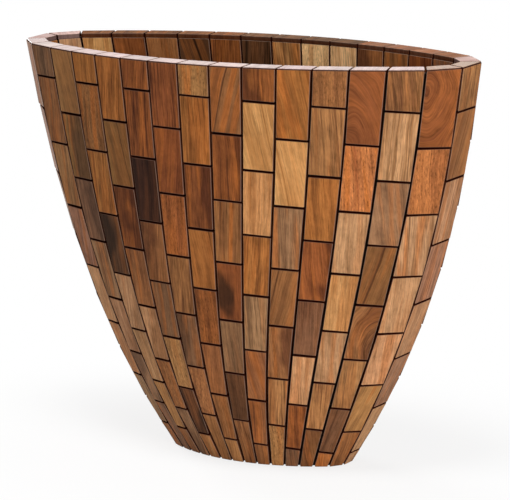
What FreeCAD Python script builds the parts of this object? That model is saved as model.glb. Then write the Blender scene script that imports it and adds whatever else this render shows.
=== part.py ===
import FreeCAD
import Part
import math
import os

# Oval planter, in millimetres. X runs along the oval, Y across it, Z up from the floor.
# A moulded tub carries columns of wood blocks outside, a row of blocks inside and a flat rim.

# Outer form: an oval of four arcs, drawn in towards the floor
rim_length = 720.0
rim_width = 252.0
rim_end_radius = 62.0
height = 564.0
base_length = 284.0
base_width = 120.0
end_flare = 96.0
end_curve_power = 2.4
side_curve_power = 4.4

# Columns of blocks
column_count = 32
block_thickness = 9.5
column_joint = 3.0
course_joint = 2.3
edge_ease = 1.2
glue_line = 0.3

# Courses: a full block under the rim, and how much shorter each next one is
first_block_length = 95.0
block_shortening = 4.8
course_fall = 7.5
course_sag = 10.0
base_gap = 1.0

# Rim and lining
cap_thickness = 6.0
cap_joint = 2.4
lining_thickness = 8.0
lining_height = 37.0
lining_joint = 2.3

# Tub
wall = 8.0
floor_thickness = 10.0
cavity_corner_height = 26.0
cavity_corner_inset = 12.0
overrun = 5.0

# Levels of the tub's inside, and nodes that the rim and the lining are kept in
cavity_levels = 8
groups_round_rim = 8


def vector(x, y, z):
    return FreeCAD.Vector(x, y, z)


def half_length(z):
    """Each end leans out in a straight line, and curves in towards the floor by a power law."""
    below = max(0.0, 1 - z / height)
    curved = (rim_length - base_length) / 2 - end_flare
    return rim_length / 2 - end_flare * below - curved * below ** end_curve_power


def half_width(z):
    """Each side curves in towards the floor by a power law."""
    below = max(0.0, 1 - z / height)
    return rim_width / 2 - (rim_width - base_width) / 2 * below ** side_curve_power


class FourArcs:
    """The rim's oval: two end arcs and two side arcs that run smoothly into each other."""

    def __init__(self):
        reach = rim_length / 2 - rim_end_radius
        square = reach ** 2 + rim_width ** 2 / 4 - rim_end_radius ** 2
        self.side_radius = square / (rim_width - 2 * rim_end_radius)
        self.join = math.atan2(self.side_radius - rim_width / 2, reach)
        self.end_run = rim_end_radius * self.join
        self.quarter = self.end_run + self.side_radius * (math.pi / 2 - self.join)

    def point(self, share):
        """Point at a share of the way round, from the -X end by way of the -Y side."""
        quarters = share * 4 % 4
        number = int(quarters)
        run = (quarters - number) * self.quarter
        if number in (1, 3):
            run = self.quarter - run
        if run < self.end_run:
            turn = run / rim_end_radius
            x = rim_length / 2 - rim_end_radius * (1 - math.cos(turn))
            y = rim_end_radius * math.sin(turn)
        else:
            turn = (self.quarter - run) / self.side_radius
            x = self.side_radius * math.sin(turn)
            y = rim_width / 2 - self.side_radius * (1 - math.cos(turn))
        return (-x if number in (0, 3) else x), (-y if number < 2 else y)


oval = FourArcs()


def skin_point(place, z):
    """Point of the outer form at a height, at a place counted in columns from the -X end."""
    x, y = oval.point(place / column_count)
    return vector(x * half_length(z) / half_length(height), y * half_width(z) / half_width(height), z)


def boundary_point(index, z):
    """Point of the outer form on the boundary at the left of a column."""
    return skin_point(index + 1 / 2, z)


def course_height(index, count):
    """Height on a column boundary after a number of blocks, counted down from the rim."""
    longest = first_block_length + block_shortening / 2
    drop = count * longest - block_shortening * count ** 2 / 2
    along = boundary_point(index, height).x / half_length(height)
    return height - drop - course_fall * along - course_sag * (along ** 2 - 1 / 2)


def joint_counts(column):
    """Joints of one column in blocks from the rim: a half block comes first in every other."""
    count = 1.0 if column % 2 == 0 else 1 / 2
    counts = []
    lowest = base_gap + block_thickness
    while min(course_height(column, count), course_height(column + 1, count)) > lowest:
        counts.append(count)
        count += 1
    return counts


def line_through(a, b, inset):
    """A line of a level outline, moved in: its unit normal and its distance."""
    size = math.hypot(b[0] - a[0], b[1] - a[1])
    nx = (a[1] - b[1]) / size
    ny = (b[0] - a[0]) / size
    return nx, ny, nx * a[0] + ny * a[1] + inset


def crossing(first, second):
    """Where two lines meet."""
    a, b, c = first
    d, e, f = second
    det = a * e - b * d
    return (c * e - b * f) / det, (a * f - c * d) / det


def inset_outline(points, insets):
    """A closed outline with each side moved in by its own amount."""
    total = len(points)
    lines = [line_through(points[i], points[(i + 1) % total], insets[i]) for i in range(total)]
    return [crossing(lines[i - 1], lines[i]) for i in range(total)]


class Facet:
    """Flat front through four corners: left low, right low, right high, left high."""

    def __init__(self, corners, holds_top_edge=False):
        left_low, right_low, right_high, left_high = corners
        if holds_top_edge:
            self.across = right_high - left_high
            self.centre = (left_high + right_high) / 2
            self.normal = self.across.cross(self.centre - (left_low + right_low) / 2)
        else:
            self.across = right_low + right_high - left_low - left_high
            self.centre = (left_low + right_low + right_high + left_high) / 4
            self.normal = (right_high - left_low).cross(left_high - right_low)
        self.normal.normalize()
        self.across -= self.normal * self.across.dot(self.normal)
        self.across.normalize()
        self.up = self.normal.cross(self.across)
        self.flat = [self.flatten(corner) for corner in corners]

    def flatten(self, point):
        arm = point - self.centre
        return arm.dot(self.across), arm.dot(self.up)

    def height_over(self, point):
        return self.normal.dot(point - self.centre)

    def ring(self, depth, low, right, high, left):
        """The outline at a depth below the front, each edge moved in by its own amount."""
        ring = []
        for x, y in inset_outline(self.flat, (low, right, high, left)):
            ring.append(self.centre + self.across * x + self.up * y - self.normal * depth)
        return ring


def solid_between(rings):
    """Closed solid through four-cornered rings that lie in parallel planes."""
    faces = []
    for ring in (rings[0], rings[-1]):
        faces.append(Part.Face(Part.makePolygon(ring + [ring[0]])))
    for near, far in zip(rings, rings[1:]):
        for i in range(len(near)):
            k = (i + 1) % len(near)
            side = [near[i], near[k], far[k], far[i], near[i]]
            faces.append(Part.Face(Part.makePolygon(side)))
    solid = Part.makeSolid(Part.makeShell(faces))
    if solid.Volume < 0:
        solid.reverse()
    return solid


class Block:
    """One outside block: a flat-backed slab with eased front edges and mitred sides."""

    def __init__(self, column, start, stop):
        self.start = start
        self.stop = stop
        self.under_rim = start == 0
        self.on_base = stop == math.inf
        left = (self.end_height(column, start), self.end_height(column, stop))
        right = (self.end_height(column + 1, start), self.end_height(column + 1, stop))
        self.facet = self.front(column, left, right)
        self.to_left = self.mitre(self.front(column - 1, left, left))
        self.to_right = self.mitre(self.front(column + 1, right, right))

    def end_height(self, index, count):
        if count == 0:
            return height
        if count == math.inf:
            return base_gap
        return course_height(index, count)

    def front(self, column, left, right):
        corners = [
            boundary_point(column, left[1]),
            boundary_point(column + 1, right[1]),
            boundary_point(column + 1, right[0]),
            boundary_point(column, left[0]),
        ]
        return Facet(corners, self.under_rim)

    def mitre(self, neighbour):
        """Run-in of a side for each unit of depth, halfway between two fronts."""
        return math.tan(self.facet.normal.getAngle(neighbour.normal) / 2)

    def ring(self, depth, ease, top):
        right = column_joint / 2 + depth * self.to_right + ease
        left = column_joint / 2 + depth * self.to_left + ease
        low = ease if self.on_base else course_joint / 2 + ease
        return self.facet.ring(depth, low, right, top, left)

    def rim_rings(self):
        """Rings whose top follows the mitre and then the underside of the rim."""
        lean = math.asin(-self.facet.normal.z)
        across = math.pi / 4 - lean

        def under_mitre(depth):
            return (glue_line + depth * math.cos(across)) / math.sin(across)

        def under_cap(depth):
            return (cap_thickness + glue_line + depth * math.sin(lean)) / math.cos(lean)

        meeting = (cap_thickness + glue_line) * math.sin(across) - glue_line * math.cos(lean)
        meeting /= math.cos(math.pi / 4)
        return [
            self.ring(0, edge_ease, under_mitre(edge_ease) + edge_ease),
            self.ring(edge_ease, 0, under_mitre(edge_ease)),
            self.ring(meeting, 0, under_mitre(meeting)),
            self.ring(block_thickness, 0, under_cap(block_thickness)),
        ]

    def solid(self):
        if self.under_rim:
            return solid_between(self.rim_rings())
        top = course_joint / 2
        return solid_between([
            self.ring(0, edge_ease, top + edge_ease),
            self.ring(edge_ease, 0, top),
            self.ring(block_thickness, 0, top),
        ])


def column_blocks(column):
    """The blocks of one column, from the rim to the base."""
    ends = [0] + joint_counts(column) + [math.inf]
    return [Block(column, start, stop) for start, stop in zip(ends, ends[1:])]


blocks = [column_blocks(column) for column in range(column_count)]


def level_outline(inset, z):
    """Outline of the faceted outer form at a level, moved in by one amount all round."""
    points = [boundary_point(i, z) for i in range(column_count)]
    return [vector(x, y, z) for x, y in inset_outline(points, [inset] * column_count)]


tub_depth = block_thickness + glue_line
lining_depth = tub_depth + wall + glue_line
rim_depth = lining_depth + lining_thickness
under_cap_height = height - cap_thickness - glue_line


def cap_block(column):
    """One flat rim block over a column, mitred outside to the block under it."""
    outer = level_outline(0, height)
    inner = level_outline(rim_depth, height)
    left = column
    right = (column + 1) % column_count
    facet = Facet([outer[left], outer[right], inner[right], inner[left]])
    side = cap_joint / 2
    return solid_between([
        facet.ring(0, 2 * edge_ease, side + edge_ease, edge_ease, side + edge_ease),
        facet.ring(edge_ease, edge_ease, side, 0, side),
        facet.ring(cap_thickness, cap_thickness, side, 0, side),
    ])


def lining_block(column):
    """One block of the row inside, just under the rim, that leans as the wall does."""
    left = (column + 1) % column_count
    right = column
    low = level_outline(rim_depth, under_cap_height - lining_height)
    high = level_outline(rim_depth, under_cap_height)
    back = level_outline(lining_depth, under_cap_height)
    facet = Facet([low[left], low[right], high[right], high[left]])
    spread = back[left].distanceToPoint(back[right]) - high[left].distanceToPoint(high[right])
    slope = spread / 2 / lining_thickness

    def ring(depth, ease):
        side = lining_joint / 2 + ease - depth * slope
        return facet.ring(depth, ease, side, ease, side)

    return solid_between([ring(0, edge_ease), ring(edge_ease, 0), ring(lining_thickness, 0)])


def tub_corner(index, count, z):
    """Corner of the tub's outside, one glue line behind every block that meets there."""
    reach = 1 / 4
    met = []
    for column in (index - 1, index):
        for block in blocks[column]:
            if block.start < count + reach and block.stop > count - reach:
                met.append(block.facet)
    start = boundary_point(index, z)
    inward = vector(0, 0, 0)
    for facet in met:
        inward -= vector(facet.normal.x, facet.normal.y, 0)
    inward.normalize()
    runs = [(tub_depth + f.height_over(start)) / -f.normal.dot(inward) for f in met]
    return start + inward * max(runs)


def closed_wire(points):
    return Part.makePolygon(points + [points[0]])


def tub_body():
    """Outside of the tub, lofted through a corner behind each block boundary."""
    columns = range(column_count)
    halves = int(2 * max(joint_counts(column)[-1] for column in columns))
    wires = [closed_wire([tub_corner(i, 0, under_cap_height) for i in columns])]
    for half in range(1, halves + 1):
        count = half / 2
        levels = [max(course_height(i, count), block_thickness) for i in columns]
        wires.append(closed_wire([tub_corner(i, count, levels[i]) for i in columns]))
    wires.append(closed_wire([tub_corner(i, (halves + 1) / 2, 0) for i in columns]))
    return Part.makeLoft(wires, True, True)


def cavity_outline(z, inset):
    """Level outline of the tub's inside, a smaller oval than the outer form."""
    long_share = (half_length(z) - inset) / half_length(z)
    wide_share = (half_width(z) - inset) / half_width(z)
    points = [boundary_point(i, z) for i in range(column_count)]
    return closed_wire([vector(p.x * long_share, p.y * wide_share, z) for p in points])


def tub_cavity():
    """Inside of the tub: flat behind each lining block, then drawn in to a flat floor."""
    inset = tub_depth + wall
    top = under_cap_height - lining_height - lining_joint
    bottom = floor_thickness + cavity_corner_height
    rim = [vector(p.x, p.y, height + overrun) for p in level_outline(inset, under_cap_height)]
    wires = [closed_wire(rim)]
    wires.append(closed_wire(level_outline(inset, under_cap_height)))
    wires.append(closed_wire(level_outline(inset, top)))
    for i in range(1, cavity_levels + 1):
        wires.append(cavity_outline(top + (bottom - top) * i / cavity_levels, inset))
    wires.append(cavity_outline(floor_thickness, inset + cavity_corner_inset))
    return Part.makeLoft(wires, True, True)


def write(name, shape):
    shape.exportStep("parts/" + name + ".step")


os.makedirs("parts", exist_ok=True)
write("tub", tub_body().cut(tub_cavity()))
for number, column in enumerate(blocks, 1):
    write("block_column_%02d" % number, Part.makeCompound([block.solid() for block in column]))
group_size = math.ceil(column_count / groups_round_rim)
for number, first in enumerate(range(0, column_count, group_size), 1):
    members = range(first, min(first + group_size, column_count))
    write("rim_cap_%d" % number, Part.makeCompound([cap_block(m) for m in members]))
    write("lining_%d" % number, Part.makeCompound([lining_block(m) for m in members]))
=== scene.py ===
import math

import bpy
import numpy as np
from bpy.props import FloatProperty, FloatVectorProperty, IntProperty, PointerProperty
from mathutils import Matrix, Vector


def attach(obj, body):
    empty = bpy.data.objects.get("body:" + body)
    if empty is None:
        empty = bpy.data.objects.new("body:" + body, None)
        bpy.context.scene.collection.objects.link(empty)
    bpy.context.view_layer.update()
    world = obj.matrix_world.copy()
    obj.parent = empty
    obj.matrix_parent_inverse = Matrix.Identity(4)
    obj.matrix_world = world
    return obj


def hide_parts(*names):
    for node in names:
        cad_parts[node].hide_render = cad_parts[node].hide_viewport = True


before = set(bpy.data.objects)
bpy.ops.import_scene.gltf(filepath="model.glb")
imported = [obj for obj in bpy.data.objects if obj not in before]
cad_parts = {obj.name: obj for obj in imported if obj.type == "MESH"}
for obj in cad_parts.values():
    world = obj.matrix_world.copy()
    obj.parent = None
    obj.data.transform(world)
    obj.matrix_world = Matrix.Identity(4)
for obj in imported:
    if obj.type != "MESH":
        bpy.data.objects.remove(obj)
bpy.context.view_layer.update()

bl_info = {
    "name": "Oval Wood Mosaic Planter",
    "version": (1, 0, 0),
    "blender": (4, 5, 0),
    "location": "View3D > Sidebar > Planter",
    "description": "Dresses an oval floor planter with staggered, lacquered wood blocks",
    "category": "Add Mesh",
}

MM = 0.001
# The two ends of a level edge, and the four sides of a block's face.
LEFT, RIGHT = range(2)
LOW_SIDE, RIGHT_SIDE, HIGH_SIDE, LEFT_SIDE = range(4)
# The rim and the lining are kept in so many pieces each.
GROUPS_ROUND_RIM = 8
BLOCK_SEED, RIM_SEED, LINING_SEED = 7, 11, 23


def length(name, description, millimetres):
    """A size in millimetres as a property in metres."""
    return FloatProperty(
        name=name, description=description, default=millimetres * MM, min=0.0, unit="LENGTH", precision=4
    )


def angle(name, description, degrees):
    """An angle in degrees as a property in radians."""
    return FloatProperty(name=name, description=description, default=math.radians(degrees), unit="ROTATION")


def exponent(name, description, value):
    """The power that a curve follows."""
    return FloatProperty(name=name, description=description, default=value, min=1.0)


def watts(name, description, value):
    """The power of a lamp."""
    return FloatProperty(name=name, description=description, default=value, min=0.0, unit="POWER")


def colour(name, description, red, green, blue):
    """A colour given in screen values from 0 to 255, kept as light."""
    light = [((c / 255 + 0.055) / 1.055) ** 2.4 if c > 10 else c / 255 / 12.92 for c in (red, green, blue)]
    return FloatVectorProperty(
        name=name, description=description, default=light, size=3, min=0.0, max=1.0, subtype="COLOR"
    )


def figure_colour(name, red, green, blue):
    """The colour of the figure in a wood."""
    return colour(name + " figure", "Dark figure in the %s wood" % name.lower(), red, green, blue)


class PlanterSizes(bpy.types.PropertyGroup):
    """Sizes of the planter, the same as those of its solids."""

    rim_length: length("Rim length", "Long way across the rim", 720.0)
    rim_width: length("Rim width", "Short way across the rim", 252.0)
    rim_end_radius: length("Rim end radius", "Radius of the two end arcs of the rim", 62.0)
    height: length("Height", "Floor to the top of the rim", 564.0)
    base_length: length("Base length", "Long way across the base", 284.0)
    base_width: length("Base width", "Short way across the base", 120.0)
    end_flare: length("End flare", "How far each end leans out in a straight line", 96.0)
    end_power: exponent("End curve", "Power of the curve of the ends", 2.4)
    side_power: exponent("Side curve", "Power of the curve of the sides", 4.4)
    columns: IntProperty(name="Columns", description="Columns of blocks round the rim", default=32, min=8)
    block_thickness: length("Block thickness", "Thickness of an outside block", 9.5)
    column_joint: length("Column joint", "Open joint between two columns of blocks", 3.0)
    course_joint: length("Course joint", "Open joint between two blocks of a column", 2.3)
    unevenness: length("Unevenness", "How far a block's edges wander, as hand-cut blocks do", 0.3)
    edge_radius: length("Edge radius", "Rounding of the edges of a block", 0.9)
    corner_radius: length("Corner radius", "Rounding of the corners of a block's face", 1.0)
    glue_line: length("Glue line", "Glue between a block and what is behind it", 0.3)
    first_block: length("First block", "Length of the full block under the rim", 95.0)
    shortening: length("Shortening", "How much shorter each next block is", 4.8)
    fall: length("Course fall", "Fall of the courses towards the +X end", 7.5)
    sag: length("Course sag", "Drop of the courses at both ends", 10.0)
    base_gap: length("Base gap", "Gap between the lowest blocks and the floor", 1.0)
    cap_thickness: length("Cap thickness", "Thickness of the rim blocks", 6.0)
    cap_joint: length("Cap joint", "Joint between two rim blocks", 2.4)
    lining_thickness: length("Lining thickness", "Thickness of an inside block", 8.0)
    lining_height: length("Lining height", "Height of the row of inside blocks", 37.0)
    lining_joint: length("Lining joint", "Joint between two inside blocks", 2.3)
    wall: length("Tub wall", "Wall of the tub", 8.0)


class PlanterColours(bpy.types.PropertyGroup):
    """Colours of the woods, each with the colour of its dark figure, and of the tub."""

    # Painted sheen: the pale grey of the -X end column, where light grazes it, is painted into its wood
    # rather than coming from the lamps.
    silver: colour("Silver", "Pale greyish wood", 176, 150, 132)
    silver_figure: figure_colour("Silver", 138, 112, 94)
    cream: colour("Cream", "Palest wood", 248, 200, 142)
    cream_figure: figure_colour("Cream", 178, 128, 80)
    honey: colour("Honey", "Pale golden wood", 204, 148, 92)
    honey_figure: figure_colour("Honey", 150, 96, 50)
    straw: colour("Straw", "Pale wood with an olive cast", 174, 122, 74)
    straw_figure: figure_colour("Straw", 114, 74, 44)
    blush: colour("Blush", "Pale pinkish wood", 188, 140, 98)
    blush_figure: figure_colour("Blush", 136, 94, 60)
    gold: colour("Gold", "Orange to golden wood", 164, 104, 52)
    gold_figure: figure_colour("Gold", 106, 62, 30)
    orange: colour("Orange", "Reddish orange wood", 178, 111, 61)
    orange_figure: figure_colour("Orange", 128, 73, 40)
    amber: colour("Amber", "Orange-brown wood", 148, 86, 44)
    amber_figure: figure_colour("Amber", 86, 46, 26)
    tan: colour("Tan", "Middle brown wood", 150, 98, 58)
    tan_figure: figure_colour("Tan", 94, 56, 34)
    olive: colour("Olive", "Greenish brown wood", 138, 96, 54)
    olive_figure: figure_colour("Olive", 90, 60, 36)
    russet: colour("Russet", "Red-brown wood", 132, 74, 40)
    russet_figure: figure_colour("Russet", 78, 40, 24)
    drab: colour("Drab", "Pale greyish brown wood", 154, 114, 80)
    drab_figure: figure_colour("Drab", 106, 74, 50)
    mauve: colour("Mauve", "Pinkish grey wood", 166, 117, 88)
    mauve_figure: figure_colour("Mauve", 118, 79, 57)
    ash: colour("Ash", "Greyish brown wood", 130, 92, 64)
    ash_figure: figure_colour("Ash", 84, 58, 40)
    plum: colour("Plum", "Purplish brown wood", 122, 82, 56)
    plum_figure: figure_colour("Plum", 77, 49, 34)
    umber: colour("Umber", "Dark brown wood", 94, 60, 38)
    umber_figure: figure_colour("Umber", 48, 30, 18)
    chocolate: colour("Chocolate", "Darkest wood", 58, 34, 24)
    chocolate_figure: figure_colour("Chocolate", 28, 15, 10)
    # Painted reflection: paler than the brown rim woods, this colour stands in for the white room reflected
    # on the near rim tops, with the lacquer's real reflection over it.
    cap: colour("Cap", "Pale wood of the rim", 219, 187, 180)
    cap_figure: figure_colour("Cap", 172, 131, 118)
    glow: colour("Glow", "Warm streaks in every wood", 176, 100, 44)
    # Painted highlight: the eased edges of every block are painted paler, as if they caught the light.
    edge: colour("Edge", "Eased edges that catch the light", 188, 160, 140)
    # Dark stain in the open joints, deepened into painted shade: the block ends and the inner side of the rim
    # blocks carry more of it.
    joint: colour("Joint", "Stained sides of the open joints", 58, 23, 13)
    tub: colour("Tub", "Black moulding", 24, 17, 14)


class PlanterStage(bpy.types.PropertyGroup):
    """Where the camera stands, and how strong the lamps are."""

    turn: angle("Turn", "How far round the camera stands", 34.42)
    rise: angle("Rise", "How far above level the camera stands", 12.71)
    roll: angle("Roll", "Tilt of the camera", -2.49)
    distance: length("Distance", "Camera to the middle of the planter", 4576.0)
    lens: FloatProperty(
        name="Lens", description="Focal length for a 36 mm wide film", default=236.2, unit="CAMERA"
    )
    shift_across: FloatProperty(name="Shift across", description="Sideways shift of the view", default=0.0018)
    shift_up: FloatProperty(name="Shift up", description="Upward shift of the view", default=0.0057)
    key: watts("Key", "Power of the main lamp", 72.0)
    side: watts("Side", "Power of the side lamp", 66.0)
    top: watts("Top", "Power of the lamp above", 30.0)
    room: FloatProperty(name="Room", description="Light that comes from all round", default=0.24, min=0.0)


# Place and width of each lamp in metres, under the name of its power.
LAMPS = {
    "key": ((2.8, -1.8, 1.3), 1.4),
    "side": ((-2.9, 1.3, 1.0), 1.0),
    "top": ((0.3, -0.6, 2.7), 0.8),
}
# How far the floor reaches from the middle, and how far the camera sees, in metres.
FLOOR_REACH, SIGHT = 12.0, 100.0
FLOOR_PAINT = (0.94, 0.94, 0.94, 1.0)
WHITE = (1.0, 1.0, 1.0, 1.0)
# Weight of the lacquer on the woods of each gloss.
LACQUER = {"satin wood": 0.12, "polished wood": 1.0}

# Woods of the outside blocks, column by column from the -X end by way of the front, from the rim down.
# A wood is plain where no look follows it, and a look takes either side where none is named.
COLUMN_WOODS = (
    # The -X end column takes the pale grey of a painted sheen.
    "silver, silver, silver, silver, silver, silver, blush",
    "ash striped, tan striped, straw, mauve, blush, blush, drab, tan",
    "straw lean, olive shaded, ash shaded right, drab striped, blush shaded, drab shaded, ash",
    "gold, tan flecked, gold striped, umber shaded left, blush, blush, straw, tan",
    "gold striped, olive lean, russet shaded right, tan, blush shaded right, tan flecked, drab shaded",
    "amber, russet striped, chocolate, tan shaded, ash, straw flecked, umber shaded, straw",
    "russet striped, russet, amber flecked, tan striped right, ash shaded, tan flecked, tan",
    "straw flecked, gold striped, russet shaded, gold lean right, amber flecked, tan, tan, straw",
    "tan lean left, amber shaded, tan striped, russet blotch, ash, umber, tan striped",
    "amber shaded left, honey lean right, honey, gold striped, drab striped, tan lean, tan, tan",
    "gold lean right, honey lean right, drab striped, tan lean, tan shaded right, straw striped, "
    "straw flecked",
    "tan flecked, straw striped, gold, amber shaded right, plum, blush, amber, ash striped",
    "russet arch left, orange flecked, blush, honey, blush, straw striped, tan",
    "tan striped, blush striped, drab, tan lean, tan swirl, straw striped, plum lean, orange",
    "amber swirl left, orange flecked, blush striped, blush, blush, straw lean, tan",
    "straw striped, tan lean, blush striped, mauve, blush, mauve, blush, blush",
)
# Woods of the inside blocks, from the +X end along the back.
LINING_WOODS = (
    "ash", "ash", "russet", "tan", "tan shaded", "cream striped", "cream flecked", "straw striped",
    "umber striped", "amber striped", "umber lean", "tan", "amber lean", "honey", "blush", "gold",
)
# Woods of the rim blocks from the -X end by way of the front. The pale cap wood with its washed-out look
# paints the reflection of the white room on most of the near rim; the far rim keeps brown woods.
RIM_WOODS = (
    ["cap bleached"] * 14 + ["blush"] * 2 + ["cap bleached"]
    + ["mauve"] * 4 + ["ash"] * 4 + ["tan"] * 5 + ["cap bleached"] * 2
)
# Shares of the woods and looks of the blocks whose wood isn't named.
COMMON_WOODS = {
    "tan": 0.3, "gold": 0.17, "straw": 0.14, "russet": 0.09, "blush": 0.08, "ash": 0.12, "olive": 0.1,
}
COMMON_LOOKS = {
    "plain": 0.34, "striped": 0.28, "lean": 0.14, "swirl": 0.03, "flecked": 0.12, "shaded": 0.08,
    "blotch": 0.01,
}
# Stripes, flecks, slope, swirl and shade of each look. A swirl over a half winds round a knot, and a shade
# over one is a blotch near the middle.
LOOK_SHARES = {
    "plain": (0.6, 0.35, 0.0, 0.1, 0.0),
    "striped": (1.0, 0.25, 0.0, 0.1, 0.0),
    "lean": (0.3, 0.25, 0.25, 0.15, 0.3),
    "swirl": (0.85, 0.3, 0.0, 1.0, 0.2),
    "arch": (0.28, 0.2, 0.0, 0.84, 0.1),
    "flecked": (0.5, 1.0, 0.0, 0.2, 0.0),
    "shaded": (0.7, 0.3, 0.05, 0.15, 1.0),
    "blotch": (0.5, 0.25, 0.0, 0.1, 2.0),
    # Faint figure, washed out by the painted reflection on the near rim.
    "bleached": (0.12, 0.1, 0.0, 0.1, 0.0),
}
# Noise drawn out along the grain: waves in a metre across and along it, a shift, detail and roughness.
PATTERNS = {
    "bands": (75.0, 7.0, 11.0, 1.0, 0.5),
    "warm streaks": (90.0, 6.0, 41.0, 1.0, 0.5),
    "streaks": (260.0, 7.0, 31.0, 2.0, 0.6),
    "specks": (560.0, 190.0, 23.0, 1.0, 0.5),
    "pores": (600.0, 45.0, 71.0, 2.0, 0.5),
    "lines": (760.0, 8.0, 3.0, 1.0, 0.5),
    "fibres": (1300.0, 40.0, 5.0, 2.0, 0.5),
}
# Noise that doesn't follow the grain: waves in a metre across and along the block, and a shift.
CLOUDS = {"wander": (15.0, 9.0, 0.0), "waver": (40.0, 7.0, 7.0), "cloud": (26.0, 15.0, 60.0)}
# How much of the wood each mark on it covers. The edge mark is a painted highlight.
COVER = {"figure": 0.9, "patch": 0.9, "blotch": 0.85, "edge": 0.65}
# Dark joint stain, deepened with painted shade, on the low, right, high and left sides of the blocks of each
# slot. A value over one reaches up the eased edge as painted shadow that thickens the joints between courses,
# and the rim's inner side is darkened the same way as painted shade.
JOINT_STAIN_AND_SHADE = {
    "blocks": (2.2, 0.95, 2.2, 0.95),
    "rim": (1.0, 1.0, 0.8, 1.0),
    "lining": (0.0, 1.0, 1.0, 1.0),
}


class Form:
    """The outer form: an oval of four arcs at the rim, drawn in towards the floor."""

    def __init__(self, sizes):
        self.s = sizes
        reach = sizes.rim_length / 2 - sizes.rim_end_radius
        square = reach**2 + sizes.rim_width**2 / 4 - sizes.rim_end_radius**2
        self.side_radius = square / (sizes.rim_width - 2 * sizes.rim_end_radius)
        join = math.atan2(self.side_radius - sizes.rim_width / 2, reach)
        self.end_run = sizes.rim_end_radius * join
        self.quarter = self.end_run + self.side_radius * (math.pi / 2 - join)

    def half_length(self, z):
        """Each end leans out in a straight line, and curves in towards the floor by a power law."""
        below = np.maximum(0, 1 - z / self.s.height)
        curved = (self.s.rim_length - self.s.base_length) / 2 - self.s.end_flare
        return self.s.rim_length / 2 - self.s.end_flare * below - curved * below**self.s.end_power

    def half_width(self, z):
        """Each side curves in towards the floor by a power law."""
        below = np.maximum(0, 1 - z / self.s.height)
        return self.s.rim_width / 2 - (self.s.rim_width - self.s.base_width) / 2 * below**self.s.side_power

    def rim(self, place):
        """Point of the rim at a place counted in columns from the -X end.

        Each quarter runs along an end arc and then a side arc, and every second one runs backwards.
        """
        quarters = np.asarray(place, float) * 4 / self.s.columns % 4
        number = quarters.astype(int)
        run = (quarters - number) * self.quarter
        run = np.where(number % 2 == 1, self.quarter - run, run)
        end = run / self.s.rim_end_radius
        side = (self.quarter - run) / self.side_radius
        on_end = run < self.end_run
        end_x = self.s.rim_length / 2 - self.s.rim_end_radius * (1 - np.cos(end))
        end_y = self.s.rim_end_radius * np.sin(end)
        side_x = self.side_radius * np.sin(side)
        side_y = self.s.rim_width / 2 - self.side_radius * (1 - np.cos(side))
        x = np.where(on_end, end_x, side_x) * np.where((number == 0) | (number == 3), -1, 1)
        y = np.where(on_end, end_y, side_y) * np.where(number < 2, -1, 1)
        return x, y

    def skin(self, place, z):
        """The rim's point, drawn in by the shares that its length and width have at height z."""
        x, y = self.rim(place)
        z = np.asarray(z, float)
        along = self.half_length(z) / self.half_length(self.s.height)
        across = self.half_width(z) / self.half_width(self.s.height)
        return np.stack(np.broadcast_arrays(x * along, y * across, z), -1)

    def course(self, boundary, count):
        """Height of a joint: each next block is shorter, and the courses fall and sag along X."""
        along = self.rim(boundary)[0] / (self.s.rim_length / 2)
        drop = count * (self.s.first_block + self.s.shortening / 2) - self.s.shortening * count**2 / 2
        return self.s.height - drop - self.s.fall * along - self.s.sag * (along**2 - 1 / 2)

    def level(self, inset, z):
        """Corners of the faceted outline at height z, each side moved in: (column, left or right, 3)."""
        points = self.skin(np.arange(self.s.columns) + 0.5, z)[:, :2]
        moved = inset_polygon(points[None], np.full((1, self.s.columns), inset))[0]
        corners = np.concatenate([moved, np.full((self.s.columns, 1), z)], 1)
        return np.stack([corners, np.roll(corners, -1, 0)], 1)


def unit(vectors):
    """Vectors of length one."""
    return vectors / np.linalg.norm(vectors, axis=-1, keepdims=True)


def dot(first, second):
    """Sum of the products along the last axis."""
    return (first * second).sum(-1)


def inset_polygon(points, insets):
    """Moves side i, from point i to the next, inwards by its inset and meets neighbouring sides again."""
    nxt = np.roll(points, -1, 1)
    step = nxt - points
    normal = unit(np.stack([-step[..., 1], step[..., 0]], -1))
    reach = dot(normal, points) + insets
    before, reach_before = np.roll(normal, 1, 1), np.roll(reach, 1, 1)
    cross = before[..., 0] * normal[..., 1] - before[..., 1] * normal[..., 0]
    x = (reach_before * normal[..., 1] - reach * before[..., 1]) / cross
    y = (reach * before[..., 0] - reach_before * normal[..., 0]) / cross
    return np.stack([x, y], -1)


class Fronts:
    """Flat fronts through corners given left low, right low, right high, left high: (front, 4, 3).

    A front goes through the middle of its corners, and its normal is the cross product of its
    diagonals. Where hold_top is set, it holds its top edge and the middle of its low one instead.
    """

    def __init__(self, corners, hold_top=None):
        hold = np.zeros(len(corners), bool) if hold_top is None else hold_top
        low_left, low_right, high_right, high_left = np.moveaxis(corners, 1, 0)
        middle_high = (high_left + high_right) / 2
        middle_low = (low_left + low_right) / 2
        level = high_right - high_left
        held = np.cross(level, middle_high - middle_low)
        free = np.cross(high_right - low_left, high_left - low_right)
        self.normal = unit(np.where(hold[:, None], held, free))
        self.centre = np.where(hold[:, None], middle_high, (middle_high + middle_low) / 2)
        across = np.where(hold[:, None], level, low_right + high_right - low_left - high_left)
        self.across = unit(across - self.normal * dot(across, self.normal)[:, None])
        self.up = np.cross(self.normal, self.across)
        arms = corners - self.centre[:, None]
        self.flat = np.stack([dot(arms, self.across[:, None]), dot(arms, self.up[:, None])], -1)


def down_the_side(over_edge, below, rings):
    """A value for each ring of a slab: some over the eased edge, and one for all the rings below it."""
    return np.array(over_edge + [below] * (rings - len(over_edge)))


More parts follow.
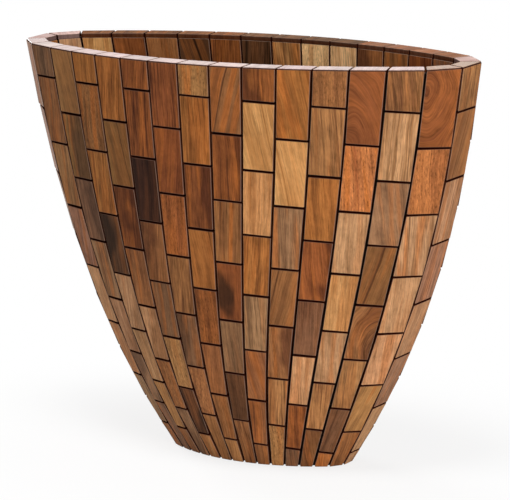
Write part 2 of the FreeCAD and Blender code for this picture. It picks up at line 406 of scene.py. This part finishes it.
def rounded_slabs(sizes, fronts, depths, insets):
    """Slabs with rounded edges and corners: their points, normals and unrolled places.

    Ring k lies at its depth behind the front, its four sides moved in by insets[:, k]. The first three
    rings follow a quarter circle of the edge radius from the flat front round to the side. Each corner is
    an arc of three points about the corner of the outline moved in by the corner radius. The sides are
    unrolled outwards by their depth.
    """
    turns = down_the_side([0.0, 45.0, 90.0], 90.0, depths.shape[1]) * math.pi / 180
    ease = sizes.edge_radius * (1 - np.sin(turns))
    step = np.roll(fronts.flat, -1, 1) - fronts.flat
    out = unit(np.stack([step[..., 1], -step[..., 0]], -1))
    before = np.roll(out, 1, 1)
    fans = np.stack([before, unit(before + out), out], 2)
    rings = []
    for k in range(len(turns)):
        centres = inset_polygon(fronts.flat, insets[:, k] + sizes.corner_radius)
        rings.append(centres[:, :, None] + (sizes.corner_radius - ease[k]) * fans)
    around = fans.shape[1] * fans.shape[2]
    flat = np.stack(rings, 1).reshape(len(depths), len(turns), around, 2)
    fan = np.broadcast_to(fans.reshape(len(depths), 1, around, 2), flat.shape)
    across, up, normal = (v[:, None, None] for v in (fronts.across, fronts.up, fronts.normal))
    points = fronts.centre[:, None, None] + across * flat[..., :1] + up * flat[..., 1:]
    points = points - normal * depths[:, :, None, None]
    sideways = across * fan[..., :1] + up * fan[..., 1:]
    turn = turns[None, :, None, None]
    normals = unit(normal * np.cos(turn) + sideways * np.sin(turn))
    unrolled = flat + fan * (depths[:, :, None, None] * np.sin(turn))
    return points, normals, unrolled


def slab_faces(count, rings, around):
    """Faces of closed slabs: quads from ring to ring, the fronts and the backs."""
    index = np.arange(count * rings * around).reshape(count, rings, around)
    after = np.roll(index, -1, 2)
    quads = np.stack([index[:, :-1], index[:, 1:], after[:, 1:], after[:, :-1]], -1).reshape(-1, 4)
    fronts = index[:, 0]
    backs = index[:, -1, ::-1]
    return quads.tolist() + fronts.tolist() + backs.tolist()


def at(words, place):
    """The wood named at a place, or None where none is."""
    return words[place] if 0 <= place < len(words) else None


class Woods:
    """Picks a wood and its figure for each block, the same way in every run."""

    def __init__(self, colours, seed):
        self.colours = colours
        self.random = np.random.default_rng(seed)
        self.names = list(COMMON_WOODS)
        share = np.array(list(COMMON_WOODS.values()))
        self.share = share / share.sum()

    def common(self):
        """A wood and a look drawn by their shares."""
        look = self.random.choice(list(COMMON_LOOKS), p=list(COMMON_LOOKS.values()))
        return "%s %s" % (self.random.choice(self.names, p=self.share), look)

    def block(self, words=None):
        """Four rows of one block: its tone, its figure's colour, (seed, stripes, slope, swirl) and
        (flecks, shade, side, glow).

        Each block is a little off its wood in lightness, figure and slope, and dark woods glow less.
        """
        wood, look, way = ((words or self.common()).split() + ["plain", ""])[:3]
        vary = self.random.normal(1.0, 0.02, 3) * self.random.normal(1.0, 0.06)
        tone = np.clip(np.array(getattr(self.colours, wood)) * vary, 0, 1)
        dark = np.clip(np.array(getattr(self.colours, wood + "_figure")) * vary, 0, 1)
        stripes, flecks, slope, swirl, shade = LOOK_SHARES[look]
        side = {"left": -1.0, "right": 1.0}.get(way, self.random.choice((-1.0, 1.0)))
        slope = slope * side * self.random.uniform(0.6, 1.3) + self.random.normal(0.0, 0.05)
        figure = (self.random.uniform(0, 900), stripes * self.random.uniform(0.8, 1.2), slope, swirl)
        glow = 0.0 if wood == "cap" else self.random.uniform(0.1, 0.7) * min(1.0, 4.0 * tone[0])
        return tone, dark, figure, (flecks, shade, side, glow)


def paint_slabs(mesh, woods, stains, shape):
    """Writes each block's wood on its points.

    The fourth value of the tone is the dark stain of the joint, deepened with painted shade, which grows over
    the eased edge, and that of the figure's tone is the painted highlight on the edge.
    """
    count, rings, around = shape
    sides = np.array(stains)
    before = np.roll(sides, 1)
    on_arcs = np.stack([before, (before + sides) / 2, sides], 1).ravel()
    stain = np.minimum(np.outer(down_the_side([0.0, 0.45, 1.0], 1.0, rings), on_arcs), 1.0).ravel()
    bend = np.repeat(down_the_side([0.0, 1.0, 0.4], 0.0, rings), around)
    tones, darks, figures, marks = (
        np.repeat(np.array([wood[i] for wood in woods]), rings * around, 0) for i in range(4)
    )
    tones = np.concatenate([tones, np.tile(stain, count)[:, None]], 1)
    darks = np.concatenate([darks, np.tile(bend, count)[:, None]], 1)
    for label, rows in (("tone", tones), ("figure_tone", darks), ("figure", figures), ("marks", marks)):
        mesh.attributes.new(label, "FLOAT_COLOR", "POINT").data.foreach_set("color", rows.ravel())


def make_slab_piece(name, slabs, woods, material, replaced, slot):
    """One mesh of closed slabs, with their wood on point attributes and the unrolled places as its UV map."""
    points, normals, unrolled = slabs
    shape = points.shape[:3]
    mesh = bpy.data.meshes.new(name)
    mesh.from_pydata(points.reshape(-1, 3), [], slab_faces(*shape))
    mesh.polygons.foreach_set("use_smooth", np.ones(len(mesh.polygons), bool))
    paint_slabs(mesh, woods, JOINT_STAIN_AND_SHADE[slot], shape)
    corner = np.empty(len(mesh.loops), int)
    mesh.loops.foreach_get("vertex_index", corner)
    uv = mesh.uv_layers.new(name="UVMap")
    uv.data.foreach_set("uv", unrolled.reshape(-1, 2)[corner].ravel())
    mesh.normals_split_custom_set_from_vertices(normals.reshape(-1, 3).tolist())
    mesh.materials.append(material)
    mesh.validate()
    piece = bpy.data.objects.new(name, mesh)
    bpy.context.scene.collection.objects.link(piece)
    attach(piece, "root")
    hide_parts(*replaced)


class Value:
    """A number in a material: sums, products and powers of it add Math nodes."""

    def __init__(self, finish, socket):
        self.finish = finish
        self.socket = socket

    def math(self, operation, *values, clamp=False):
        """A Math node on the values."""
        settings = {"operation": operation, "use_clamp": clamp}
        node = self.finish.node("ShaderNodeMath", settings, dict(enumerate(values)))
        return Value(self.finish, node.outputs[0])

    def __add__(self, other):
        return self.math("ADD", self, other)

    def __radd__(self, other):
        return self.math("ADD", other, self)

    def __sub__(self, other):
        return self.math("SUBTRACT", self, other)

    def __rsub__(self, other):
        return self.math("SUBTRACT", other, self)

    def __mul__(self, other):
        return self.math("MULTIPLY", self, other)

    def __rmul__(self, other):
        return self.math("MULTIPLY", other, self)

    def __pow__(self, other):
        return self.math("POWER", self, other)

    def __abs__(self):
        return self.math("ABSOLUTE", self)

    def or_more(self, other):
        """The larger of the two."""
        return self.math("MAXIMUM", self, other)

    def held(self):
        """Kept between 0 and 1."""
        return self.math("ADD", self, 0.0, clamp=True)

    def wave(self):
        """A sine of it, from 0 to 1."""
        return self.math("SINE", self) * 0.5 + 0.5

    def ramp(self, start, end):
        """0 at the start and before it, 1 from the end on, smooth between."""
        settings = {"interpolation_type": "SMOOTHSTEP"}
        node = self.finish.node("ShaderNodeMapRange", settings, {0: self, 1: start, 2: end})
        return Value(self.finish, node.outputs[0])


class Finish:
    """The nodes of a material or of the world."""

    def __init__(self, owner):
        self.owner = owner
        owner.use_nodes = True
        self.tree = owner.node_tree
        self.tree.nodes.clear()

    def node(self, kind, settings=None, sockets=None):
        """Adds a node: its settings first, then the values or links of its sockets."""
        node = self.tree.nodes.new(kind)
        for key, setting in (settings or {}).items():
            setattr(node, key, setting)
        for key, value in (sockets or {}).items():
            if isinstance(value, Value):
                value = value.socket
            if isinstance(value, bpy.types.NodeSocket):
                self.tree.links.new(value, node.inputs[key])
            else:
                node.inputs[key].default_value = value
        return node

    def vector(self, x, y, z):
        """A vector of three numbers."""
        return self.node("ShaderNodeCombineXYZ", {}, {0: x, 1: y, 2: z}).outputs[0]

    def split(self, vector):
        """The three numbers of a vector."""
        node = self.node("ShaderNodeSeparateXYZ", {}, {0: vector})
        return [Value(self, node.outputs[i]) for i in range(3)]

    def noise(self, vector, scale=1.0, detail=2.0, roughness=0.5):
        """Cloudy noise round a half."""
        sockets = {"Vector": vector, "Scale": scale, "Detail": detail, "Roughness": roughness}
        return Value(self, self.node("ShaderNodeTexNoise", {}, sockets).outputs["Fac"])

    def attribute(self, name):
        """What the mesh says of each point under a name."""
        return self.node("ShaderNodeAttribute", {"attribute_name": name})

    def mix(self, factor, first, second, blend="MIX"):
        """A colour between two colours."""
        settings = {"data_type": "RGBA", "blend_type": blend, "clamp_factor": True}
        return self.node("ShaderNodeMix", settings, {0: factor, 6: first, 7: second}).outputs[2]

    def grey(self, level):
        """A grey of a level."""
        return self.node("ShaderNodeCombineColor", {}, {0: level, 1: level, 2: level}).outputs[0]

    def seen(self):
        """1 for what the camera sees, also in a glossy or a clear surface."""
        rays = self.node("ShaderNodeLightPath").outputs
        camera, glossy, clear = (
            Value(self, rays["Is %s Ray" % kind]) for kind in ("Camera", "Glossy", "Transmission")
        )
        return (camera + glossy + clear).held()

    def surface(self, sockets, bump, depth):
        """The shader, with a bump of a depth in metres."""
        raised = self.node("ShaderNodeBump", {}, {"Strength": 1.0, "Distance": depth, "Height": bump})
        shader = self.node("ShaderNodeBsdfPrincipled", {}, dict(sockets, Normal=raised.outputs[0]))
        self.node("ShaderNodeOutputMaterial", {}, {0: shader.outputs[0]})
        return self.owner


def solid(tint):
    """A colour property as the value of a socket."""
    return tuple(tint) + (1.0,)


class Grain:
    """What the attributes of a block say of its wood, and the patterns that they lay on it.

    Places are in metres from the middle of the block's front.
    """

    def __init__(self, finish):
        self.finish = f = finish
        place = f.node("ShaderNodeUVMap", {"uv_map": "UVMap"})
        self.across, self.along, _ = f.split(place.outputs[0])
        tone, dark = f.attribute("tone"), f.attribute("figure_tone")
        figure, marks = f.attribute("figure"), f.attribute("marks")
        self.tone, self.dark = tone.outputs["Color"], dark.outputs["Color"]
        # The tone's alpha is the joint stain with painted shade; the figure tone's alpha is the painted
        # highlight on the eased edges.
        self.stain, self.bend = Value(f, tone.outputs["Alpha"]), Value(f, dark.outputs["Alpha"])
        self.seed, self.stripes, self.slope = f.split(figure.outputs["Vector"])
        self.swirl = Value(f, figure.outputs["Alpha"])
        self.flecks, self.shade, self.side = f.split(marks.outputs["Vector"])
        self.glow = Value(f, marks.outputs["Alpha"])
        self.lay()
        self.lines = self.pattern("lines")
        self.streaks = self.pattern("streaks")
        self.fibres = self.pattern("fibres")
        self.cloud = self.spread("cloud")

    def lay(self):
        """The place across the grain, which is slanted, or is the distance from a knot, and wanders.

        The knot of a full swirl lies 24 mm to one side and 30 mm down, and farther off at less.
        """
        knot_across = self.side * (0.1 - self.swirl * 0.076)
        knot_along = (self.swirl - 1.06) * 0.5
        self.knotty = self.swirl.ramp(0.5, 0.8)
        self.from_knot = self.distance(self.across - knot_across, self.along - knot_along)
        self.from_middle = self.distance(self.across, self.along + 0.006)
        wander, waver = (self.spread(name) - 0.5 for name in ("wander", "waver"))
        straight = self.across + self.along * self.slope
        place = straight + (self.from_knot - straight) * self.knotty
        self.grain = place + wander * (self.swirl * 0.034 + 0.006) + waver * 0.0016

    def distance(self, across, along):
        """Length of a step that counts half along the block, which draws the rings of a knot out."""
        return (across**2.0 + (along * 0.5) ** 2.0) ** 0.5

    def pattern(self, name):
        """Noise drawn out along the grain."""
        f = self.finish
        across, along, shift, detail, roughness = PATTERNS[name]
        place = f.vector(self.grain * across, self.along * along, self.seed + shift)
        return f.noise(place, detail=detail, roughness=roughness)

    def spread(self, name):
        """Noise that doesn't follow the grain."""
        f = self.finish
        across, along, shift = CLOUDS[name]
        return f.noise(f.vector(self.across * across, self.along * along, self.seed + shift))

    def warmth(self):
        """Warm streaks, stronger the more the block glows."""
        return (self.pattern("warm streaks").ramp(0.46, 0.62) * self.glow).held()

    def figure(self):
        """Dark bands, streaks, lines and thin veins, fainter round the outer rings of a knot."""
        bands = self.pattern("bands").ramp(0.46, 0.64)
        streaks = self.streaks.ramp(0.5, 0.64)
        lines = self.lines.ramp(0.52, 0.64)
        veins = (self.grain * 120.0 + self.seed * 3.0).wave() ** 180.0
        amount = bands * 0.45 + streaks * self.stripes * 0.6
        amount = amount + lines * (self.stripes * 0.4 + 0.12)
        amount = amount + veins * (self.stripes * 0.3 + abs(self.slope) * 3.2)
        return amount * (1.0 - self.from_knot.ramp(0.03, 0.055) * self.knotty * 0.75)

    def patch(self):
        """Dark wood on one side of a shaded block, with a cloudy border, or the heart of a knot."""
        side = (self.cloud + self.side * self.across * 9.0).ramp(0.42, 0.62)
        shaded = side * self.shade * (2.0 - self.shade).ramp(0.0, 1.0)
        heart = (1.0 - self.from_knot.ramp(0.0015, 0.007)) * self.knotty
        return shaded.or_more(heart)

    def blotch(self):
        """A dark blotch with a ragged outline near the middle, where the shade is over one."""
        return (self.cloud - self.from_middle * 12.0).ramp(0.3, 0.46) * (self.shade - 1.0).held()

    def level(self):
        """How light the wood is: cloudy, fibrous and rippled, with pores, fine lines and flecks."""
        f = self.finish
        slanted = self.across * 60.0 + self.along * 30.0
        ripple = f.noise(f.vector(slanted, self.along * 80.0, self.seed + 51.0))
        pores, specks = self.pattern("pores"), self.pattern("specks")
        broad = 1.0 + (self.cloud - 0.5) * 0.5 + (self.fibres - 0.5) * 0.4 + (ripple - 0.5) * 0.4
        fine = ((pores - 0.5) * 1.2 + (self.lines - 0.5) * 1.1) * (self.stripes * 0.7 + 0.5)
        flecks = (specks.ramp(0.56, 0.7) - specks.ramp(0.44, 0.32)) * 0.3 * self.flecks
        return broad + fine + flecks


def wood_material(colours, name):
    """Lacquered wood: warm streaks, figure and dark marks, lighter and darker grain, a painted highlight on
    the edges, and joints stained and darkened with painted shade.
    """
    f = Finish(bpy.data.materials.new(name))
    wood = Grain(f)
    tone = f.mix(wood.warmth(), wood.tone, solid(colours.glow))
    tone = f.mix((wood.figure() * COVER["figure"]).held(), tone, wood.dark)
    tone = f.mix(wood.patch() * COVER["patch"], tone, wood.dark)
    tone = f.mix(wood.blotch() * COVER["blotch"], tone, solid(colours.umber_figure))
    tone = f.mix(1.0, tone, f.grey(wood.level()), "MULTIPLY")
    # Painted highlight on the eased edges.
    tone = f.mix(wood.bend * COVER["edge"], tone, solid(colours.edge))
    # Dark joint stain, deepened with painted shade in the grooves and at the block ends.
    tone = f.mix(wood.stain, tone, solid(colours.joint))
    sockets = {
        "Base Color": tone,
        "Roughness": 0.36 + wood.fibres * 0.16,
        "Specular IOR Level": 0.0,
        "Coat Weight": LACQUER[name] * (1.0 - wood.stain),
        "Coat Roughness": 0.25,
    }
    return f.surface(sockets, bump=wood.fibres * 0.5 + wood.streaks * 0.5, depth=0.0003)


def shared_wood(context, name):
    """The wood material that all the blocks of one gloss share."""
    return bpy.data.materials.get(name) or wood_material(context.scene.planter_colours, name)


def tub_material(colours):
    """Matt black moulding with a fine orange-peel surface, a little paler where dust lies."""
    f = Finish(bpy.data.materials.new("black moulding"))
    place = f.node("ShaderNodeTexCoord").outputs["Object"]
    peel = f.noise(place, 420.0, 2.0)
    dust = f.noise(place, 26.0, 3.0)
    dusty = [c * 1.8 + 0.004 for c in colours.tub]
    sockets = {
        "Base Color": f.mix(dust.ramp(0.45, 0.75), solid(colours.tub), solid(dusty)),
        "Roughness": 0.55 + dust * 0.2,
        "Specular IOR Level": 0.1,
    }
    return f.surface(sockets, bump=peel, depth=0.0002)


def ring_depths(count, thickness, edge, meeting):
    """Depths of the rings: a quarter circle over the edge, a meeting on the side, and the back."""
    over_edge = [0.0, edge * (1 - math.cos(math.pi / 4)), edge]
    rings = np.repeat(np.array(over_edge + [0.0, thickness])[None], count, 0)
    rings[:, len(over_edge)] = meeting
    return rings


def groups_round_rim(columns):
    """The number of each group, from 1, and the columns whose rim or lining blocks it holds."""
    size = math.ceil(columns / GROUPS_ROUND_RIM)
    for number, first in enumerate(range(0, columns, size), 1):
        yield number, np.arange(first, min(first + size, columns))


class PLANTER_OT_blocks(bpy.types.Operator):
    """Cover the outside with columns of blocks, half a block in step from one column to the next"""

    bl_idname = "planter.blocks"
    bl_label = "Outside blocks"

    def execute(self, context):
        s = context.scene.planter_sizes
        form = Form(s)
        woods = Woods(context.scene.planter_colours, BLOCK_SEED)
        wood = shared_wood(context, "satin wood")
        for column in range(s.columns):
            slabs = self.slabs(form, column, woods.random)
            named = (at(COLUMN_WOODS, column) or "").split(", ")
            picked = [woods.block(at(named, i)) for i in range(len(slabs[0]))]
            label = "%02d" % (column + 1)
            replaced = ["block_column_" + label]
            make_slab_piece("mosaic_column_" + label, slabs, picked, wood, replaced, "blocks")
        return {"FINISHED"}

    def slabs(self, form, column, random):
        """One column, its sides mitred halfway to its neighbours and its first block mitred under the rim.

        The joints wander a little, and all blocks but the first are sunk a little.
        """
        s = form.s
        ends = self.course_ends(form, column)
        high, low = ends[:-1], ends[1:]
        count = len(high)
        first, last = np.arange(count) == 0, np.arange(count) == count - 1
        fronts = self.fronts(form, column, high, low, first)
        to_left = self.mitre(fronts, form, column - 1, high[:, LEFT], low[:, LEFT], first)
        to_right = self.mitre(fronts, form, column + 1, high[:, RIGHT], low[:, RIGHT], first)
        wander = random.uniform(-1.0, 1.0, (count, 4)) * s.unevenness
        side = s.column_joint / 2 + wander
        end = s.course_joint / 2 + wander
        lean = np.arcsin(-fronts.normal[0, 2])
        slant = math.pi / 4 - lean
        mitre_end = (s.cap_thickness + s.glue_line) * math.sin(slant) - s.glue_line * math.cos(lean)
        meeting = np.full(count, s.block_thickness / 2)
        meeting[0] = mitre_end / math.cos(math.pi / 4)
        depths = ring_depths(count, s.block_thickness, s.edge_radius, meeting)
        insets = np.empty(depths.shape + (4,))
        insets[..., LOW_SIDE] = np.where(last, 0.0, end[:, LOW_SIDE])[:, None]
        insets[..., RIGHT_SIDE] = side[:, RIGHT_SIDE, None] + depths * to_right[:, None]
        insets[..., HIGH_SIDE] = end[:, HIGH_SIDE, None]
        insets[..., LEFT_SIDE] = side[:, LEFT_SIDE, None] + depths * to_left[:, None]
        insets[0, :, HIGH_SIDE] = self.under_rim(s, depths[0], lean, slant)
        sunk = np.where(first, 0.0, random.uniform(0.0, 1.0, count) * s.unevenness)
        depths[:, :-1] += sunk[:, None]
        return rounded_slabs(s, fronts, depths, insets)

    def under_rim(self, s, depths, lean, slant):
        """Run-in of the first block's top: down the mitre of the rim block, then along its underside.

        The last ring but one lies where the two meet.
        """
        mitred = np.minimum(np.maximum(depths, s.edge_radius), depths[-2])
        insets = (s.glue_line + mitred * math.cos(slant)) / math.sin(slant)
        insets[-1] = (s.cap_thickness + s.glue_line + s.block_thickness * math.sin(lean)) / math.cos(lean)
        return insets

    def course_ends(self, form, column):
        """Heights of the block ends on the left and right boundary, from the rim to the base.

        Every second column starts with half a block.
        """
        s = form.s
        sides = np.array([column, column + 1]) + 0.5
        count = 1.0 if column % 2 == 0 else 0.5
        ends = [np.array([s.height, s.height])]
        while form.course(sides, count).min() > s.base_gap + s.block_thickness:
            ends.append(form.course(sides, count))
            count += 1
        ends.append(np.array([s.base_gap, s.base_gap]))
        return np.array(ends)

    def fronts(self, form, column, high, low, hold_top):
        """Fronts of a column between the heights of their ends on its two boundaries."""
        left, right = column + 0.5, column + 1.5
        corners = [
            form.skin(left, low[:, LEFT]), form.skin(right, low[:, RIGHT]),
            form.skin(right, high[:, RIGHT]), form.skin(left, high[:, LEFT]),
        ]
        return Fronts(np.stack(corners, 1), hold_top)

    def mitre(self, fronts, form, column, high, low, hold_top):
        """Run-in of a side for each unit of depth, halfway to the neighbour's front."""
        pair = np.stack([high, high], 1), np.stack([low, low], 1)
        neighbour = self.fronts(form, column, *pair, hold_top)
        turn = np.arccos(np.clip(dot(fronts.normal, neighbour.normal), -1, 1))
        return np.tan(turn / 2)


class PLANTER_OT_rim(bpy.types.Operator):
    """Lay the flat rim, one block over each column"""

    bl_idname = "planter.rim"
    bl_label = "Rim blocks"

    def execute(self, context):
        s = context.scene.planter_sizes
        form = Form(s)
        woods = Woods(context.scene.planter_colours, RIM_SEED)
        depth = s.block_thickness + s.glue_line + s.wall + s.glue_line + s.lining_thickness
        outer, inner = form.level(0.0, s.height), form.level(depth, s.height)
        corners = np.stack([outer[:, LEFT], outer[:, RIGHT], inner[:, RIGHT], inner[:, LEFT]], 1)
        for number, members in groups_round_rim(s.columns):
            depths = ring_depths(len(members), s.cap_thickness, s.edge_radius, s.cap_thickness / 2)
            insets = np.zeros(depths.shape + (4,))
            insets[..., LOW_SIDE] = np.maximum(depths, s.edge_radius)
            insets[..., RIGHT_SIDE] = insets[..., LEFT_SIDE] = s.cap_joint / 2
            slabs = rounded_slabs(s, Fronts(corners[members]), depths, insets)
            picked = [woods.block(at(RIM_WOODS, m)) for m in members]
            on_near_side = members[0] < s.columns // 2
            wood = shared_wood(context, "polished wood" if on_near_side else "satin wood")
            replaced = ["rim_cap_%d" % number]
            make_slab_piece("rim_blocks_%d" % number, slabs, picked, wood, replaced, "rim")
        return {"FINISHED"}


class PLANTER_OT_lining(bpy.types.Operator):
    """Line the mouth with one row of blocks under the rim"""

    bl_idname = "planter.lining"
    bl_label = "Inside blocks"

    def execute(self, context):
        s = context.scene.planter_sizes
        form = Form(s)
        woods = Woods(context.scene.planter_colours, LINING_SEED)
        back_inset = s.block_thickness + s.glue_line + s.wall + s.glue_line
        top = s.height - s.cap_thickness - s.glue_line
        high = form.level(back_inset + s.lining_thickness, top)
        low = form.level(back_inset + s.lining_thickness, top - s.lining_height)
        back = form.level(back_inset, top)
        corners = np.stack([low[:, RIGHT], low[:, LEFT], high[:, LEFT], high[:, RIGHT]], 1)
        back_width = np.linalg.norm(back[:, RIGHT] - back[:, LEFT], axis=1)
        front_width = np.linalg.norm(high[:, RIGHT] - high[:, LEFT], axis=1)
        slope = (back_width - front_width) / 2 / s.lining_thickness
        far_side = s.columns // 2
        wood = shared_wood(context, "satin wood")
        for number, members in groups_round_rim(s.columns):
            depths = ring_depths(len(members), s.lining_thickness, s.edge_radius, s.lining_thickness / 2)
            insets = np.zeros(depths.shape + (4,))
            insets[..., RIGHT_SIDE] = s.lining_joint / 2 - depths * slope[members, None]
            insets[..., LEFT_SIDE] = insets[..., RIGHT_SIDE]
            slabs = rounded_slabs(s, Fronts(corners[members]), depths, insets)
            picked = [woods.block(at(LINING_WOODS, m - far_side)) for m in members]
            replaced = ["lining_%d" % number]
            make_slab_piece("inside_blocks_%d" % number, slabs, picked, wood, replaced, "lining")
        return {"FINISHED"}


class PLANTER_OT_tub(bpy.types.Operator):
    """Give the moulded tub its black finish"""

    bl_idname = "planter.tub"
    bl_label = "Tub"

    def execute(self, context):
        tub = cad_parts["tub"]
        tub.data.materials.clear()
        tub.data.materials.append(tub_material(context.scene.planter_colours))
        return {"FINISHED"}


class PLANTER_OT_stage(bpy.types.Operator):
    """Set the floor, the lamps and the camera"""

    bl_idname = "planter.stage"
    bl_label = "Stage"

    def execute(self, context):
        stage = context.scene.planter_stage
        middle = Vector((0, 0, context.scene.planter_sizes.height / 2))
        self.floor(context)
        self.world(context, stage.room)
        for name, (place, width) in LAMPS.items():
            self.lamp(context, name, Vector(place), width, middle, getattr(stage, name))
        self.camera(context, stage, middle)
        context.scene.view_settings.view_transform = "Standard"
        return {"FINISHED"}

    def floor(self, context):
        """A flat square that is white to the camera. In an oval near the planter a fifth of its matt paint
        shows, with the shadow on it.
        """
        mesh = bpy.data.meshes.new("floor")
        corners = [(-1, -1, 0), (1, -1, 0), (1, 1, 0), (-1, 1, 0)]
        mesh.from_pydata([Vector(corner) * FLOOR_REACH for corner in corners], [], [(0, 1, 2, 3)])
        f = Finish(bpy.data.materials.new("pale floor"))
        x, y, _ = f.split(f.node("ShaderNodeTexCoord").outputs["Object"])
        away = ((x * x * 0.7 + y * y * 1.4) ** 0.5).ramp(0.2, 0.6)
        matt = f.node("ShaderNodeBsdfDiffuse", {}, {"Color": FLOOR_PAINT}).outputs[0]
        white = f.node("ShaderNodeEmission", {}, {"Color": WHITE, "Strength": 1.0}).outputs[0]
        bright = f.seen() * (0.8 + away * 0.2)
        mixed = f.node("ShaderNodeMixShader", {}, {0: bright, 1: matt, 2: white})
        f.node("ShaderNodeOutputMaterial", {}, {0: mixed.outputs[0]})
        mesh.materials.append(f.owner)
        floor = bpy.data.objects.new("floor", mesh)
        context.scene.collection.objects.link(floor)

    def world(self, context, room):
        """A white room that lights the planter by a share of what the camera sees of it."""
        world = bpy.data.worlds.new("studio")
        context.scene.world = world
        f = Finish(world)
        lit = f.node("ShaderNodeBackground", {}, {"Color": WHITE, "Strength": room})
        white = f.node("ShaderNodeBackground", {}, {"Color": WHITE, "Strength": 1.0})
        mixed = f.node("ShaderNodeMixShader", {}, {0: f.seen(), 1: lit.outputs[0], 2: white.outputs[0]})
        f.node("ShaderNodeOutputWorld", {}, {0: mixed.outputs[0]})

    def lamp(self, context, name, place, width, target, power):
        """A round lamp that faces the target."""
        data = bpy.data.lights.new(name, "AREA")
        data.shape = "DISK"
        data.size = width
        data.energy = power
        lamp = bpy.data.objects.new(name, data)
        lamp.location = place
        lamp.rotation_euler = (target - place).to_track_quat("-Z", "Y").to_euler()
        context.scene.collection.objects.link(lamp)

    def camera(self, context, stage, middle):
        """Looks at the middle from the stage's turn and rise, and rolls about its own line of sight."""
        level = Vector((math.cos(stage.turn), math.sin(stage.turn), 0))
        reach = math.cos(stage.rise)
        back = Vector((math.sin(stage.turn) * reach, -math.cos(stage.turn) * reach, math.sin(stage.rise)))
        upright = back.cross(level)
        right = level * math.cos(stage.roll) + upright * math.sin(stage.roll)
        up = back.cross(right)
        data = bpy.data.cameras.new("camera")
        data.lens = stage.lens
        data.shift_x = stage.shift_across
        data.shift_y = stage.shift_up
        data.clip_end = SIGHT
        camera = bpy.data.objects.new("camera", data)
        turned = Matrix((right, up, back)).transposed().to_4x4()
        camera.matrix_world = Matrix.Translation(middle + back * stage.distance) @ turned
        context.scene.collection.objects.link(camera)
        context.scene.camera = camera


class PLANTER_PT_panel(bpy.types.Panel):
    """The planter's pieces, in the order they are made"""

    bl_idname = "PLANTER_PT_panel"
    bl_label = "Oval planter"
    bl_space_type = "VIEW_3D"
    bl_region_type = "UI"
    bl_category = "Planter"

    def draw(self, context):
        for operator in OPERATORS:
            self.layout.operator(operator.bl_idname)


OPERATORS = (PLANTER_OT_stage, PLANTER_OT_blocks, PLANTER_OT_rim, PLANTER_OT_lining, PLANTER_OT_tub)
CLASSES = (PlanterSizes, PlanterColours, PlanterStage) + OPERATORS + (PLANTER_PT_panel,)


def register():
    for each in CLASSES:
        bpy.utils.register_class(each)
    bpy.types.Scene.planter_sizes = PointerProperty(type=PlanterSizes)
    bpy.types.Scene.planter_colours = PointerProperty(type=PlanterColours)
    bpy.types.Scene.planter_stage = PointerProperty(type=PlanterStage)


def unregister():
    del bpy.types.Scene.planter_stage
    del bpy.types.Scene.planter_colours
    del bpy.types.Scene.planter_sizes
    for each in reversed(CLASSES):
        bpy.utils.unregister_class(each)


def main():
    register()
    for operator in OPERATORS:
        group, name = operator.bl_idname.split(".")
        getattr(getattr(bpy.ops, group), name)()


if __name__ == "__main__":
    main()
